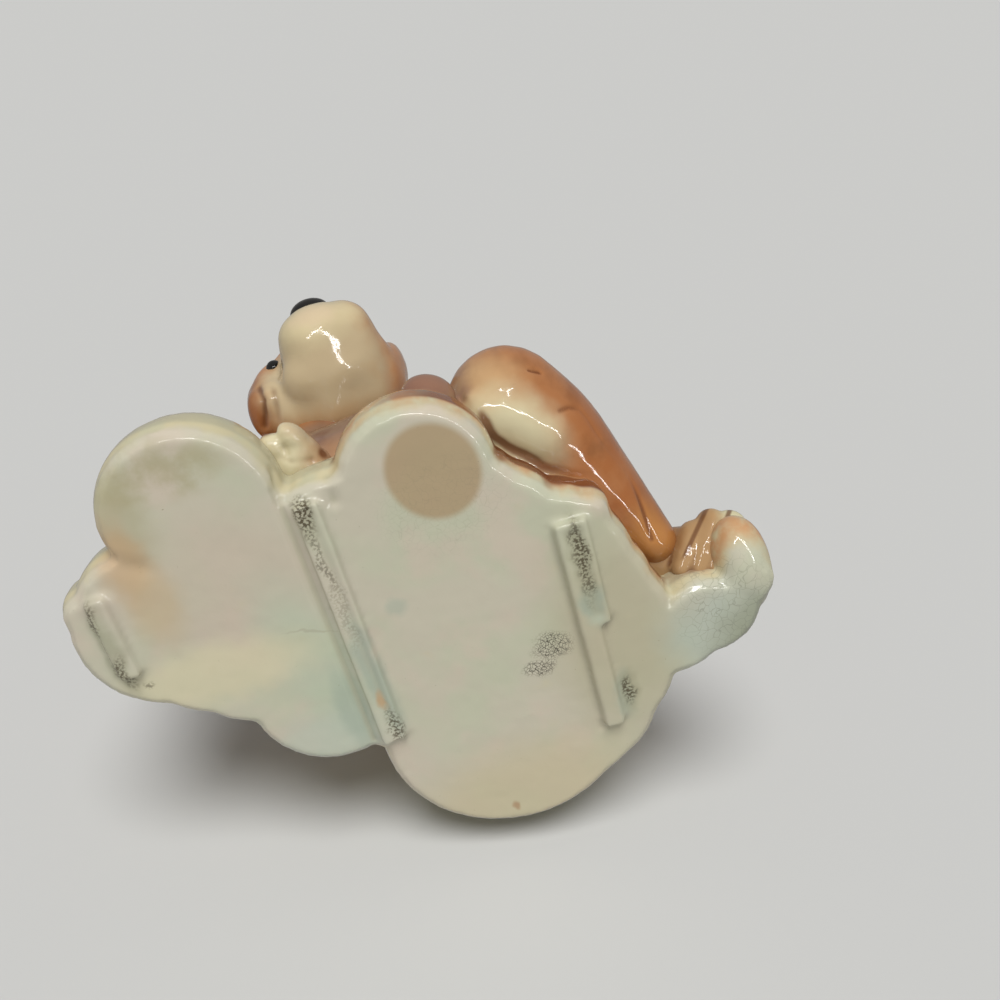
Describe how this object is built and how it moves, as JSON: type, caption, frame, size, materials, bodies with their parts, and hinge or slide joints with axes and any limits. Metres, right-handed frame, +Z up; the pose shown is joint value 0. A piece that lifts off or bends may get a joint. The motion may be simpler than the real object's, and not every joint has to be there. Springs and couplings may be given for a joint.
{
  "type": "dog planter",
  "caption": "Glazed ceramic planter: a reclining hound puppy in front of an open lobed pot, on a lobed foot with parallel rails.",
  "frame": {"origin": "centre of the planter's box, on the plane of the rails' soles", "axes": "+X towards the puppy's tail, -Y the way the puppy faces, +Z up out of the pot"},
  "size_m": [0.192, 0.1634, 0.104],
  "materials": {
    "foot_glaze": "gloss, cream-grey with a green cast",
    "rail_glaze": "satin, wiped, with dark pitted patches",
    "pot_glaze": "gloss, brown rim fading to cream at the foot",
    "coat_glaze": "gloss, sprayed brown over cream",
    "cream_glaze": "gloss, cream",
    "tan_glaze": "gloss, mauve-brown",
    "nose_glaze": "gloss, black"
  },
  "bodies": {
    "root": {"foot_rail_left": "rail_glaze", "foot_rail_middle": "rail_glaze", "foot_rail_right": "rail_glaze", "base_slab": "foot_glaze", "pot_wall": "pot_glaze", "dog_trunk": "coat_glaze", "dog_neck": "coat_glaze", "dog_haunch": "coat_glaze", "dog_hind_paw": "cream_glaze", "dog_tail": "cream_glaze", "dog_foreleg_right": "coat_glaze", "dog_foreleg_left": "coat_glaze", "dog_paw_right": "cream_glaze", "dog_paw_left": "tan_glaze", "dog_skull": "coat_glaze", "dog_muzzle": "cream_glaze", "dog_nose": "nose_glaze", "dog_eye_right": "nose_glaze", "dog_eye_left": "nose_glaze", "dog_ear_right": "coat_glaze", "dog_ear_left": "coat_glaze"}
  },
  "joints": []
}
